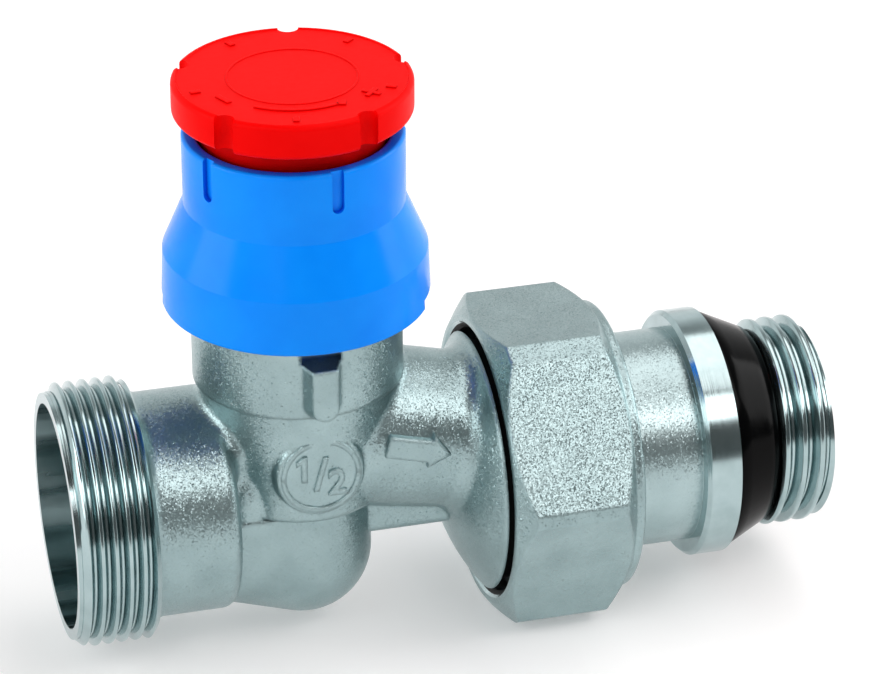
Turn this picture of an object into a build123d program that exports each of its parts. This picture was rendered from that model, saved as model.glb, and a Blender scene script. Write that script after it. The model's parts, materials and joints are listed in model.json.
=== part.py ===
from build123d import *
import math
import os

# X is the flow axis and Z the spindle axis, both counted from their crossing, in millimetres.
# The finished pieces are shifted so that the radiator thread starts at the origin.

# Inlet spigot of the forged body
INLET_REACH = 24.4
INLET_THREAD_R = 13.0
INLET_THREAD_LENGTH = 7.4
INLET_MOUTH_R = 11.1
INLET_MOUTH_DEPTH = 6.8
INLET_BORE_R = 8.2
THREAD_CHAMFER = 0.6
THREAD_RUNOUT = 1.6
SPIGOT_R = 11.1
SPIGOT_END = 8.0
SPIGOT_ROUND = 1.4

# Drum, bulb and neck of the forged body
DRUM_BASE = 0.3
DRUM_TAPER = 1.4
DRUM_ROUND = 0.7
BULB_INSET = 1.5
BULB_DEPTH = 6.6
BULB_TILT = 18.0
NECK_BASE = 13.0
NECK_R = 10.26
NECK_STEP = 0.36
NECK_HEIGHT = 11.0
DRUM_BLEND = 1.0
BULGE_BLEND = 1.2

# Lug with a keyway on the front of the neck, and the round pad below it
LUG_PROUD = 1.74
LUG_WIDTH = 2.4
LUG_FOOT = 0.5
LUG_DRAFT = 20.0
KEYWAY_HEIGHT = 5.1
KEYWAY_DEPTH = 1.3
PAD_R = 4.3
PAD_HEIGHT = 6.1
PAD_PROUD = 0.8
PAD_DRAFT = 12.0
PAD_ROUND = 0.45

# Outlet bulge, web and flange of the forged body
BULGE_START = 2.0
BULGE_INSET = 1.6
BULGE_START_Z = 6.8
BULGE_SINK = 0.5
BULGE_TAPER = 0.6
BULGE_END_Z = 3.6
WEB_HALF_WIDTH = 3.6
WEB_BOTTOM = 4.9
WEB_ROUND = 1.0
FLANGE_DOME_R = 21.7
FLANGE_RIM = 18.0
FLANGE_BLEND = 2.0
UNION_THREAD_R = 13.2
UNION_THREAD_LENGTH = 8.0

# Waterways
SEAT_BORE_R = 4.2
SEAT_LIP = 1.0
SEAT_FLOOR = 1.9
SEAT_HEIGHT = 1.0
CHAMBER_R = 6.2
CHAMBER_STEP = 1.1
LOWER_CHANNEL_R = 4.4
UPPER_CHANNEL_R = 4.4
UPPER_CHANNEL_Z = 7.4
UPPER_CHANNEL_TILT = 26.7
OUTLET_BORE_R = 6.6

# Valve insert
BONNET_THREAD_R = 7.2
BONNET_DEPTH = 9.4
BONNET_FLOOR = 1.6
BONNET_FLANGE_INSET = 1.66
BONNET_FLANGE = 1.2
BONNET_HEX = 14.0
BONNET_HEX_HEIGHT = 3.2
SPRING_CHAMBER_R = 4.2
GLAND_THREAD_R = 4.7
GLAND_DEPTH = 3.8
GLAND_HEX = 10.0
GLAND_HEX_HEIGHT = 2.2
GLAND_POCKET_R = 2.9
PACKING_THICKNESS = 1.0
STEM_R = 1.5
STEM_PROUD = 2.0
STEM_FLANGE_R = 2.4
STEM_FLANGE = 1.0
DISC_R = 5.0
DISC_THICKNESS = 1.8
DISC_LIFT = 1.9
CUP_R = 5.7
CUP_GRIP = 1.0
CUP_ROOF = 1.4
DISC_WASHER_R = 3.2
DISC_WASHER = 0.5
DISC_NUT_HEX = 5.5
DISC_NUT = 2.0
STEM_TAIL = 0.4
STEM_TIP = 0.3
SPRING_R = 2.9
SPRING_WIRE_R = 0.42
SPRING_LENGTH = 5.2
SPRING_TURNS = 4
SPRING_WASHER_R = 3.6
SPRING_WASHER = 0.8
CIRCLIP_R = 2.5
CIRCLIP_GROOVE_R = 1.1
CIRCLIP = 0.6
CIRCLIP_MOUTH = 1.6

# Head collar and hand knob
COLLAR_OVERLAP = 2.8
COLLAR_SKIRT_HEIGHT = 5.55
COLLAR_CONE_HEIGHT = 4.95
COLLAR_RIM_HEIGHT = 7.1
COLLAR_GAP = 2.74
COLLAR_TAPER = 0.25
COLLAR_RIM_STEP = 2.36
COLLAR_WALL = 1.4
COLLAR_ROUND = 0.4
COLLAR_GROOVE_COUNT = 5
COLLAR_GROOVE_WIDTH = 1.2
COLLAR_GROOVE_LENGTH = 4.2
COLLAR_GROOVE_DEPTH = 0.5
COLLAR_GROOVE_ANGLE = -80.3
COLLAR_RIB_COUNT = 6
COLLAR_RIB_WIDTH = 1.6
COLLAR_SEAT = 1.2
SNAP_HEIGHT = 1.6
SNAP_WIDTH = 0.8
SNAP_DEPTH = 0.35
NOTCH_ANGLE = -18.0
NOTCH_WIDTH = 6.3
NOTCH_HEIGHT = 1.2
NOTCH_COUNT = 2
KNOB_OVERHANG = 0.81
KNOB_GAP = 2.0
KNOB_HEIGHT = 3.5
KNOB_PLATE = 1.7
KNOB_ROUND = 0.6
KNOB_SKIRT_GAP = 0.3
KNOB_SKIRT_WALL = 1.5
KNOB_SKIRT_LENGTH = 8.3
KNOB_PEG_R = 2.4
KNOB_RIB_COUNT = 4
KNOB_RIB_WIDTH = 1.2
KNOB_NOTCH_COUNT = 5
KNOB_NOTCH_R = 1.05
KNOB_NOTCH_DEPTH = 1.2
KNOB_NOTCH_ANGLE = -65.0

# Union nut
NUT_WALL = 1.5
NUT_CORNER_TRIM = 0.36
NUT_CORNER_ANGLE = 53.75
NUT_CHAMFER = 35.0
NUT_FACE_INSET = 0.3
NUT_MOUTH = 0.65
NUT_COLLAR = 1.0
NUT_COLLAR_ROUND = 0.5
NUT_LIP = 2.7

# Tailpiece
TAIL_INSET = 2.38
TAIL_NOSE_STEP = 1.92
TAIL_NOSE_LENGTH = 4.1
TAIL_WALL = 2.4
TAIL_NOSE_WALL = 2.9
TAIL_SOCKET_DEPTH = 10.0
TAIL_SHANK = 7.05
COLLAR_RING_WIDTH = 3.45
COLLAR_RING_PROUD = 1.66
COLLAR_RING_BEVEL = 0.4
TAIL_CORE_R = 9.4
RADIATOR_THREAD_R = 10.4775
RADIATOR_THREAD_LENGTH = 5.7
SEAL_RING_LENGTH = 5.1
SEAL_RING_INSET = 0.38
SEAL_RING_TIP = 0.6
SEAL_RING_EDGE = 0.4
SPLIT_RING_PROUD = 1.78
SPLIT_RING_WIDTH = 1.5
SPLIT_RING_BITE = 0.85
SPLIT_RING_MOUTH = 2.0
SPLIT_RING_OFFSET = 1.0

# O-rings: section radius of each
UNION_O_RING = 0.7
BONNET_O_RING = 0.65
STEM_O_RING = 0.65

# Fits
RUNNING_FIT = 0.05
SLIDING_FIT = 0.1
SEAT_GAP = 0.1
GROOVE_PLAY = 0.05
TOUCHING = 0.001

# Heights and radii about the spindle that follow from the sizes above
NECK_TOP = NECK_BASE + NECK_HEIGHT
DRUM_TOP_R = NECK_R - NECK_STEP
DRUM_BASE_R = DRUM_TOP_R - DRUM_TAPER
BULB_R = DRUM_BASE_R - BULB_INSET
LUG_FRONT = NECK_R + LUG_PROUD
LUG_BASE = NECK_BASE + LUG_FOOT
KEYWAY_FLOOR = NECK_TOP - KEYWAY_HEIGHT
PAD_FRONT = DRUM_BASE_R + PAD_PROUD
SEAT_TOP = SEAT_FLOOR + SEAT_HEIGHT
DISC_BASE = SEAT_TOP + DISC_LIFT
DISC_TOP = DISC_BASE + DISC_THICKNESS
CUP_TOP = DISC_TOP + CUP_ROOF
BONNET_BOTTOM = NECK_TOP - BONNET_DEPTH
CHAMBER_TOP = BONNET_BOTTOM - CHAMBER_STEP
BONNET_FLANGE_R = NECK_R - BONNET_FLANGE_INSET
BONNET_TOP = NECK_TOP + BONNET_FLANGE + BONNET_HEX_HEIGHT
GLAND_TOP = BONNET_TOP + GLAND_HEX_HEIGHT
GLAND_BOTTOM = BONNET_TOP - GLAND_DEPTH
STEM_TOP = GLAND_TOP + STEM_PROUD
SPRING_BASE = BONNET_BOTTOM + BONNET_FLOOR
SPRING_TOP = SPRING_BASE + SPRING_LENGTH
CIRCLIP_BASE = SPRING_TOP + SPRING_WASHER
COLLAR_BASE = NECK_TOP - COLLAR_OVERLAP
COLLAR_WAIST = COLLAR_BASE + COLLAR_SKIRT_HEIGHT
COLLAR_SHOULDER = COLLAR_WAIST + COLLAR_CONE_HEIGHT
COLLAR_RIM = COLLAR_SHOULDER + COLLAR_RIM_HEIGHT
COLLAR_BASE_R = NECK_R + COLLAR_GAP
COLLAR_WAIST_R = COLLAR_BASE_R - COLLAR_TAPER
COLLAR_RIM_R = COLLAR_BASE_R - COLLAR_RIM_STEP
COLLAR_BORE_R = COLLAR_RIM_R - COLLAR_WALL
KNOB_R = COLLAR_RIM_R + KNOB_OVERHANG
KNOB_BASE = COLLAR_RIM + KNOB_GAP
KNOB_TOP = KNOB_BASE + KNOB_HEIGHT
KNOB_SKIRT_R = COLLAR_BORE_R - KNOB_SKIRT_GAP

# Stations and radii along the flow axis that follow from the sizes above
MOUTH_END = -INLET_REACH + INLET_MOUTH_DEPTH
BULGE_START_R = DRUM_TOP_R - BULGE_INSET
BULGE_END_R = BULGE_START_R - BULGE_TAPER
BULGE_END = FLANGE_RIM - BULGE_SINK
OUTLET_END = FLANGE_RIM + UNION_THREAD_LENGTH
NUT_FACE = FLANGE_RIM + SEAT_GAP
NUT_THREAD_R = UNION_THREAD_R + SLIDING_FIT
NUT_FLAT_R = NUT_THREAD_R + NUT_WALL
NUT_CORNER_R = NUT_FLAT_R / math.cos(math.radians(30)) - NUT_CORNER_TRIM
TAIL_R = UNION_THREAD_R - TAIL_INSET
TAIL_BORE_R = TAIL_CORE_R - TAIL_WALL
TAIL_SHOULDER = OUTLET_END + SEAT_GAP
TAIL_START = TAIL_SHOULDER - TAIL_NOSE_LENGTH
TAIL_NOSE_R = TAIL_R - TAIL_NOSE_STEP
TAIL_SOCKET = 2 * (TAIL_NOSE_R - TAIL_NOSE_WALL)
SPLIT_RING_R = TAIL_R + SPLIT_RING_PROUD
LIP_FACE = TAIL_SHOULDER + SPLIT_RING_OFFSET + SPLIT_RING_WIDTH + SEAT_GAP
NUT_END = LIP_FACE + NUT_LIP
COLLAR_RING_START = NUT_END + TAIL_SHANK
COLLAR_RING_END = COLLAR_RING_START + COLLAR_RING_WIDTH
COLLAR_RING_R = TAIL_R + COLLAR_RING_PROUD
RADIATOR_THREAD_START = COLLAR_RING_END + SEAL_RING_LENGTH
RADIATOR_THREAD_END = RADIATOR_THREAD_START + RADIATOR_THREAD_LENGTH
SEAL_RING_R = COLLAR_RING_R - SEAL_RING_INSET
SEAL_RING_TIP_R = TAIL_CORE_R + SEAL_RING_TIP


def turned_x(*outline):
    """Solid turned about the flow axis from (station, radius) points."""
    return revolve(make_face(Polyline(*outline, close=True)), Axis.X)


def turned_z(*outline):
    """Solid turned about the spindle axis from (radius, height) points."""
    return revolve(Plane.XZ * make_face(Polyline(*outline, close=True)), Axis.Z)


def rod_x(radius, start, end):
    """Plain cylinder along the flow axis."""
    return turned_x((start, 0), (start, radius), (end, radius), (end, 0))


def rod_z(radius, start, end):
    """Plain cylinder along the spindle axis."""
    return turned_z((0, start), (radius, start), (radius, end), (0, end))


def tube_x(outer, inner, start, end):
    """Plain ring along the flow axis."""
    return turned_x((start, inner), (start, outer), (end, outer), (end, inner))


def tube_z(outer, inner, start, end):
    """Plain ring along the spindle axis."""
    return turned_z((inner, start), (outer, start), (outer, end), (inner, end))


def hexagon_z(across_flats, start, end):
    """Hexagonal prism along the spindle axis."""
    flats = RegularPolygon(across_flats / 2, 6, major_radius=False)
    return Pos(0, 0, start) * extrude(flats, end - start)


def hexagon_x(across_flats, start, end, corner_angle):
    """Hexagonal prism along the flow axis, one corner at the given angle from Y towards Z."""
    flats = RegularPolygon(across_flats / 2, 6, major_radius=False, rotation=corner_angle)
    return Pos(start, 0, 0) * extrude(Plane.YZ * flats, end - start)


def around_z(count, first_angle, piece):
    """Copies of a piece at even angles about the spindle axis."""
    return [Rot(0, 0, first_angle + 360 * turn / count) * piece for turn in range(count)]


def blended(first, second, radius):
    """Two forged masses joined, with the curved seams between them rounded."""
    whole = first + second
    fresh = new_edges(first, second, combined=whole)
    marks = [edge @ 0.5 for edge in fresh if edge.geom_type in (GeomType.BSPLINE, GeomType.HYPERBOLA)]
    seam = [edge for edge in whole.edges() if any((edge @ 0.5 - mark).length < TOUCHING for mark in marks)]
    return fillet(seam, radius)


def spigot():
    """Threaded inlet end with its shank, solid."""
    thread_end = -INLET_REACH + INLET_THREAD_LENGTH
    shank = turned_x(
        (-INLET_REACH, 0),
        (-INLET_REACH, INLET_THREAD_R - THREAD_CHAMFER),
        (-INLET_REACH + THREAD_CHAMFER, INLET_THREAD_R),
        (thread_end, INLET_THREAD_R),
        (thread_end + THREAD_RUNOUT, SPIGOT_R),
        (-SPIGOT_END, SPIGOT_R),
        (-SPIGOT_END, 0),
    )
    back_edge = shank.edges().filter_by(GeomType.CIRCLE).sort_by(Axis.X)[-1]
    return fillet(back_edge, SPIGOT_ROUND)


def drum():
    """Drafted drum that carries the neck, solid, running up inside the neck."""
    draft = (DRUM_TOP_R - DRUM_BASE_R) / (NECK_BASE - DRUM_BASE)
    hidden = (NECK_R - DRUM_TOP_R) / 2 / draft
    plain = turned_z(
        (0, DRUM_BASE),
        (DRUM_BASE_R, DRUM_BASE),
        (DRUM_TOP_R + draft * hidden, NECK_BASE + hidden),
        (0, NECK_BASE + hidden),
    )
    return fillet(plain.edges().filter_by(GeomType.CIRCLE).sort_by(Axis.Z)[0], DRUM_ROUND)


def bulb_frame():
    """Place of the lower channel: its length runs from the bulb back to the spigot, X up."""
    return Pos(0, 0, -BULB_DEPTH) * Rot(0, BULB_TILT - 90, 0)


def bulb():
    """Round-bottomed lower chamber and the channel that joins it to the spigot, solid."""
    section = Circle(BULB_R) + Pos(BULB_R, 0) * Rectangle(2 * BULB_R, 2 * BULB_R)
    channel = bulb_frame() * extrude(section, 2 * SPIGOT_END)
    reach = SPIGOT_END + SPIGOT_ROUND
    keep = Pos(-reach, 0, DRUM_BASE) * Box(
        reach, 2 * BULB_R, 2 * INLET_REACH, align=(Align.MIN, Align.CENTER, Align.MAX)
    )
    column = rod_z(BULB_R, -BULB_DEPTH, DRUM_BASE)
    return column + Pos(0, 0, -BULB_DEPTH) * Sphere(BULB_R) + (channel & keep)


def bulge():
    """Tapered outlet bulge that falls from the drum to the flange, solid."""
    run = BULGE_END - BULGE_START
    fall = BULGE_START_Z - BULGE_END_Z
    tilt = math.degrees(math.atan2(fall, run))
    cone = Cone(
        BULGE_START_R, BULGE_END_R, math.hypot(run, fall), align=(Align.CENTER, Align.CENTER, Align.MIN)
    )
    return Pos(BULGE_START, 0, BULGE_START_Z) * Rot(0, 90 + tilt, 0) * cone


def web():
    """Flat web below the bulge, rounded along its bottom."""
    section = Pos(0, -WEB_BOTTOM / 2) * Rectangle(2 * WEB_HALF_WIDTH, WEB_BOTTOM)
    section = fillet(section.vertices().group_by(Axis.Y)[0], WEB_ROUND)
    return extrude(Plane.YZ * section, FLANGE_RIM)


def flange():
    """Domed flange with the union thread behind it, solid."""
    pole = FLANGE_RIM - FLANGE_DOME_R + math.sqrt(FLANGE_DOME_R**2 - UNION_THREAD_R**2)
    dome = RadiusArc((pole, 0), (FLANGE_RIM, UNION_THREAD_R), FLANGE_DOME_R)
    rest = Polyline(
        (FLANGE_RIM, UNION_THREAD_R),
        (OUTLET_END - THREAD_CHAMFER, UNION_THREAD_R),
        (OUTLET_END, UNION_THREAD_R - THREAD_CHAMFER),
        (OUTLET_END, 0),
        (pole, 0),
    )
    return revolve(make_face([dome, rest]), Axis.X)


def front_plane(distance):
    """Upright plane ahead of the body, its normal pointing back into the body."""
    return Plane((0, -distance, 0), x_dir=(-1, 0, 0), z_dir=(0, 1, 0))


def lug():
    """Drafted lug up the front of the neck, with a round foot."""
    half = LUG_WIDTH / 2
    height = NECK_TOP - LUG_BASE - half
    face = Pos(0, NECK_TOP - height / 2) * Rectangle(LUG_WIDTH, height)
    face += Pos(0, LUG_BASE + half) * Circle(half)
    grown = extrude(front_plane(LUG_FRONT) * face, LUG_FRONT - NECK_R + KEYWAY_DEPTH, taper=-LUG_DRAFT)
    return grown & rod_z(2 * NECK_R, 0, NECK_TOP)


def keyway():
    """Slot milled down through the top of the lug and into the neck."""
    return split(lug(), Plane.XY.offset(KEYWAY_FLOOR), keep=Keep.TOP)


def pad():
    """Drafted round pad on the front of the drum, for the size mark."""
    face = Pos(0, PAD_HEIGHT) * Circle(PAD_R)
    grown = extrude(front_plane(PAD_FRONT) * face, PAD_PROUD + PAD_R / 2, taper=-PAD_DRAFT)
    return fillet(grown.edges().filter_by(GeomType.CIRCLE).sort_by(Axis.Y)[0], PAD_ROUND)


def waterways():
    """Everything bored out of the forging, from the inlet mouth to the outlet."""
    inlet = rod_x(INLET_MOUTH_R, -INLET_REACH, MOUTH_END)
    inlet += rod_x(INLET_BORE_R, MOUTH_END, -SPIGOT_END - SEAT_HEIGHT)
    lower = bulb_frame() * extrude(Circle(LOWER_CHANNEL_R), SPIGOT_END + 2 * SPIGOT_ROUND)
    lower += Pos(0, 0, -BULB_DEPTH) * Sphere(LOWER_CHANNEL_R)
    seat = rod_z(SEAT_BORE_R, -BULB_DEPTH, SEAT_TOP)
    chamber = turned_z(
        (0, SEAT_TOP),
        (SEAT_BORE_R + SEAT_LIP, SEAT_TOP),
        (SEAT_BORE_R + SEAT_LIP, SEAT_FLOOR),
        (CHAMBER_R, SEAT_FLOOR),
        (CHAMBER_R, CHAMBER_TOP),
        (BONNET_THREAD_R, CHAMBER_TOP),
        (BONNET_THREAD_R, NECK_TOP),
        (0, NECK_TOP),
    )
    fall = Pos(CHAMBER_R, 0, UPPER_CHANNEL_Z) * Rot(0, 90 + UPPER_CHANNEL_TILT, 0)
    upper = fall * extrude(Circle(UPPER_CHANNEL_R), FLANGE_RIM - CHAMBER_R)
    outlet = rod_x(OUTLET_BORE_R, FLANGE_RIM - FLANGE_BLEND, OUTLET_END)
    socket = rod_x(TAIL_NOSE_R + SLIDING_FIT, TAIL_START - SEAT_GAP, OUTLET_END)
    return inlet + lower + seat + chamber + upper + outlet + socket


def valve_body():
    """Forged and bored body with its inlet thread, neck and union thread."""
    forging = blended(spigot(), drum(), DRUM_BLEND)
    forging = blended(forging, blended(bulge(), flange(), FLANGE_BLEND), BULGE_BLEND)
    forging += bulb() + web() + rod_z(NECK_R, NECK_BASE, NECK_TOP) + lug() + pad()
    snap = NECK_TOP - SNAP_HEIGHT
    snap_groove = tube_z(2 * NECK_R, NECK_R - SNAP_DEPTH, snap, snap + SNAP_WIDTH)
    return forging - waterways() - keyway() - snap_groove


def union_nut():
    """Hexagon union nut with turned chamfers, a round collar and an inner lip."""
    face_r = NUT_FLAT_R - NUT_FACE_INSET
    rise = (NUT_CORNER_R - face_r) * math.tan(math.radians(NUT_CHAMFER))
    hex_end = NUT_END - NUT_COLLAR
    blank = hexagon_x(2 * NUT_FLAT_R, NUT_FACE, NUT_END, NUT_CORNER_ANGLE)
    turned = turned_x(
        (NUT_FACE, 0),
        (NUT_FACE, face_r),
        (NUT_FACE + rise, NUT_CORNER_R),
        (hex_end - rise, NUT_CORNER_R),
        (hex_end, face_r),
        (NUT_END, face_r),
        (NUT_END, 0),
    )
    turned = fillet(turned.edges().filter_by(GeomType.CIRCLE).sort_by(Axis.X)[-1], NUT_COLLAR_ROUND)
    bore = turned_x(
        (NUT_FACE, 0),
        (NUT_FACE, NUT_THREAD_R + NUT_MOUTH),
        (NUT_FACE + NUT_MOUTH, NUT_THREAD_R),
        (LIP_FACE, NUT_THREAD_R),
        (LIP_FACE, TAIL_R + SLIDING_FIT),
        (NUT_END, TAIL_R + SLIDING_FIT),
        (NUT_END, 0),
    )
    return (blank & turned) - bore


def tailpiece():
    """Turned tail with its sealing nose, split ring groove, collar and radiator thread."""
    outside = turned_x(
        (TAIL_START, 0),
        (TAIL_START, TAIL_NOSE_R),
        (TAIL_SHOULDER, TAIL_NOSE_R),
        (TAIL_SHOULDER, TAIL_R),
        (COLLAR_RING_START, TAIL_R),
        (COLLAR_RING_START, COLLAR_RING_R - COLLAR_RING_BEVEL),
        (COLLAR_RING_START + COLLAR_RING_BEVEL, COLLAR_RING_R),
        (COLLAR_RING_END, COLLAR_RING_R),
        (COLLAR_RING_END, TAIL_CORE_R),
        (RADIATOR_THREAD_START, TAIL_CORE_R),
        (RADIATOR_THREAD_START, RADIATOR_THREAD_R),
        (RADIATOR_THREAD_END - THREAD_CHAMFER, RADIATOR_THREAD_R),
        (RADIATOR_THREAD_END, RADIATOR_THREAD_R - THREAD_CHAMFER),
        (RADIATOR_THREAD_END, 0),
    )
    seal_middle = union_seal_station()
    seal_groove = tube_x(
        TAIL_R, TAIL_NOSE_R - 2 * UNION_O_RING, seal_middle - UNION_O_RING, seal_middle + UNION_O_RING
    )
    ring_groove = tube_x(2 * TAIL_R, TAIL_R - SPLIT_RING_BITE, *split_ring_span())
    socket_end = TAIL_START + TAIL_SOCKET_DEPTH
    socket = hexagon_x(TAIL_SOCKET, TAIL_START, socket_end, 0)
    bore = rod_x(TAIL_BORE_R, socket_end, RADIATOR_THREAD_END)
    return outside - seal_groove - ring_groove - socket - bore


def union_seal_station():
    """Middle of the O-ring groove on the tail's nose."""
    return TAIL_SHOULDER - TAIL_NOSE_LENGTH / 2


def split_ring_span():
    """Start and end of the split ring along the tail."""
    start = TAIL_SHOULDER + SPLIT_RING_OFFSET
    return start, start + SPLIT_RING_WIDTH


def split_ring():
    """Open ring in the tail's groove that the nut's lip pulls on."""
    start, end = split_ring_span()
    middle = Pos((start + end) / 2, 0, SPLIT_RING_R)
    mouth = middle * Box(2 * SPLIT_RING_WIDTH, SPLIT_RING_MOUTH, SPLIT_RING_R)
    return tube_x(SPLIT_RING_R, TAIL_R - SPLIT_RING_BITE + GROOVE_PLAY, start, end) - mouth


def union_o_ring():
    """O-ring on the tail's nose."""
    middle_r = TAIL_NOSE_R - UNION_O_RING
    return Pos(union_seal_station(), 0, 0) * Rot(0, 90, 0) * Torus(middle_r, UNION_O_RING)


def self_seal_ring():
    """Tapered rubber ring between the tail's collar and the radiator thread."""
    return turned_x(
        (COLLAR_RING_END, TAIL_CORE_R),
        (COLLAR_RING_END, SEAL_RING_R),
        (COLLAR_RING_END + SEAL_RING_EDGE, SEAL_RING_R),
        (RADIATOR_THREAD_START - SEAL_RING_EDGE, SEAL_RING_TIP_R),
        (RADIATOR_THREAD_START, SEAL_RING_TIP_R - SEAL_RING_EDGE),
        (RADIATOR_THREAD_START, TAIL_CORE_R),
    )


def bonnet():
    """Brass insert screwed into the neck, holding the spring and the gland."""
    thread_r = BONNET_THREAD_R - RUNNING_FIT
    outside = rod_z(thread_r, BONNET_BOTTOM, NECK_TOP)
    outside += rod_z(BONNET_FLANGE_R, NECK_TOP, NECK_TOP + BONNET_FLANGE)
    outside += hexagon_z(BONNET_HEX, NECK_TOP + BONNET_FLANGE, BONNET_TOP)
    groove_r = thread_r - 2 * BONNET_O_RING
    groove = tube_z(2 * thread_r, groove_r, SPRING_BASE, SPRING_BASE + 2 * BONNET_O_RING)
    inside = turned_z(
        (0, BONNET_BOTTOM),
        (STEM_R + RUNNING_FIT, BONNET_BOTTOM),
        (STEM_R + RUNNING_FIT, SPRING_BASE),
        (SPRING_CHAMBER_R, SPRING_BASE),
        (SPRING_CHAMBER_R, GLAND_BOTTOM),
        (GLAND_THREAD_R, GLAND_BOTTOM),
        (GLAND_THREAD_R, BONNET_TOP),
        (0, BONNET_TOP),
    )
    return outside - groove - inside


def bonnet_o_ring():
    """O-ring that seals the insert in the neck."""
    middle_r = BONNET_THREAD_R - RUNNING_FIT - BONNET_O_RING
    return Pos(0, 0, SPRING_BASE + BONNET_O_RING) * Torus(middle_r, BONNET_O_RING)


def gland_nut():
    """Hexagon gland screwed into the top of the insert round the stem."""
    outside = rod_z(GLAND_THREAD_R - RUNNING_FIT, GLAND_BOTTOM, BONNET_TOP)
    outside += hexagon_z(GLAND_HEX, BONNET_TOP, GLAND_TOP)
    pocket = rod_z(GLAND_POCKET_R, GLAND_BOTTOM, GLAND_BOTTOM + PACKING_THICKNESS + 2 * STEM_O_RING)
    return outside - pocket - rod_z(STEM_R + RUNNING_FIT, GLAND_BOTTOM, GLAND_TOP)


def packing_washer():
    """Plain washer that keeps the stem seal in the gland."""
    return tube_z(GLAND_POCKET_R, STEM_R + RUNNING_FIT, GLAND_BOTTOM, GLAND_BOTTOM + PACKING_THICKNESS)


def stem_o_ring():
    """O-ring that seals the stem inside the gland."""
    middle_r = STEM_R + RUNNING_FIT + STEM_O_RING
    return Pos(0, 0, GLAND_BOTTOM + PACKING_THICKNESS + STEM_O_RING) * Torus(middle_r, STEM_O_RING)


def stem():
    """Spindle pin with the disc flange and the circlip groove."""
    return turned_z(
        (0, DISC_BASE - DISC_WASHER - DISC_NUT - STEM_TAIL),
        (STEM_R, DISC_BASE - DISC_WASHER - DISC_NUT - STEM_TAIL),
        (STEM_R, CUP_TOP),
        (STEM_FLANGE_R, CUP_TOP),
        (STEM_FLANGE_R, CUP_TOP + STEM_FLANGE),
        (STEM_R, CUP_TOP + STEM_FLANGE),
        (STEM_R, CIRCLIP_BASE),
        (CIRCLIP_GROOVE_R, CIRCLIP_BASE),
        (CIRCLIP_GROOVE_R, CIRCLIP_BASE + CIRCLIP),
        (STEM_R, CIRCLIP_BASE + CIRCLIP),
        (STEM_R, STEM_TOP - STEM_TIP),
        (STEM_R - STEM_TIP, STEM_TOP),
        (0, STEM_TOP),
    )


def disc_holder():
    """Cup that grips the rubber disc from above."""
    return turned_z(
        (STEM_R, DISC_TOP),
        (DISC_R, DISC_TOP),
        (DISC_R, DISC_TOP - CUP_GRIP),
        (CUP_R, DISC_TOP - CUP_GRIP),
        (CUP_R, CUP_TOP),
        (STEM_R, CUP_TOP),
    )


def disc_seal():
    """Rubber disc that closes on the seat."""
    return tube_z(DISC_R, STEM_R, DISC_BASE, DISC_TOP)


def disc_washer():
    """Washer under the rubber disc."""
    return tube_z(DISC_WASHER_R, STEM_R, DISC_BASE - DISC_WASHER, DISC_BASE)


def disc_nut():
    """Nut that clamps the disc to the stem."""
    top = DISC_BASE - DISC_WASHER
    return hexagon_z(DISC_NUT_HEX, top - DISC_NUT, top) - rod_z(STEM_R, top - DISC_NUT, top)


def return_spring():
    """Coil spring that lifts the stem."""
    height = SPRING_LENGTH - 2 * SPRING_WIRE_R
    path = Pos(0, 0, SPRING_BASE + SPRING_WIRE_R) * Helix(height / SPRING_TURNS, height, SPRING_R)
    wire = Plane(path @ 0, z_dir=path % 0) * RegularPolygon(SPRING_WIRE_R, 6)
    return sweep(wire, path, is_frenet=True)


def spring_washer():
    """Washer that the spring lifts the stem by."""
    return tube_z(SPRING_WASHER_R, STEM_R, SPRING_TOP, CIRCLIP_BASE)


def circlip():
    """Open ring in the stem's groove above the spring washer."""
    mouth = Pos(CIRCLIP_R, 0, CIRCLIP_BASE) * Box(2 * CIRCLIP_R, CIRCLIP_MOUTH, 4 * CIRCLIP)
    return tube_z(CIRCLIP_R, CIRCLIP_GROOVE_R, CIRCLIP_BASE, CIRCLIP_BASE + CIRCLIP) - mouth


def collar_rib():
    """Inner rib that grips the neck, snaps into its groove and rests on its top."""
    grip_r = NECK_R + RUNNING_FIT
    wall_r = COLLAR_WAIST_R - COLLAR_WALL / 2
    snap = NECK_TOP - SNAP_HEIGHT + GROOVE_PLAY
    outline = Polyline(
        (grip_r, COLLAR_BASE + COLLAR_ROUND),
        (wall_r, COLLAR_BASE + COLLAR_ROUND),
        (wall_r, COLLAR_WAIST),
        (NECK_R - COLLAR_SEAT, COLLAR_WAIST),
        (NECK_R - COLLAR_SEAT, NECK_TOP),
        (grip_r, NECK_TOP),
        (grip_r, snap + SNAP_WIDTH - 2 * GROOVE_PLAY),
        (grip_r - SNAP_DEPTH, snap + SNAP_WIDTH / 2),
        (grip_r, snap),
        close=True,
    )
    return extrude(Plane.XZ * make_face(outline), COLLAR_RIB_WIDTH / 2, both=True)


def collar_groove():
    """Upright groove in the collar's rim, round at its foot."""
    half = COLLAR_GROOVE_WIDTH / 2
    run = COLLAR_GROOVE_LENGTH - half
    face = Pos(0, COLLAR_RIM - run / 2) * Rectangle(COLLAR_GROOVE_WIDTH, run)
    face += Pos(0, COLLAR_RIM - run) * Circle(half)
    return extrude(Plane.YZ.offset(COLLAR_RIM_R - COLLAR_GROOVE_DEPTH) * face, COLLAR_WALL)


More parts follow.
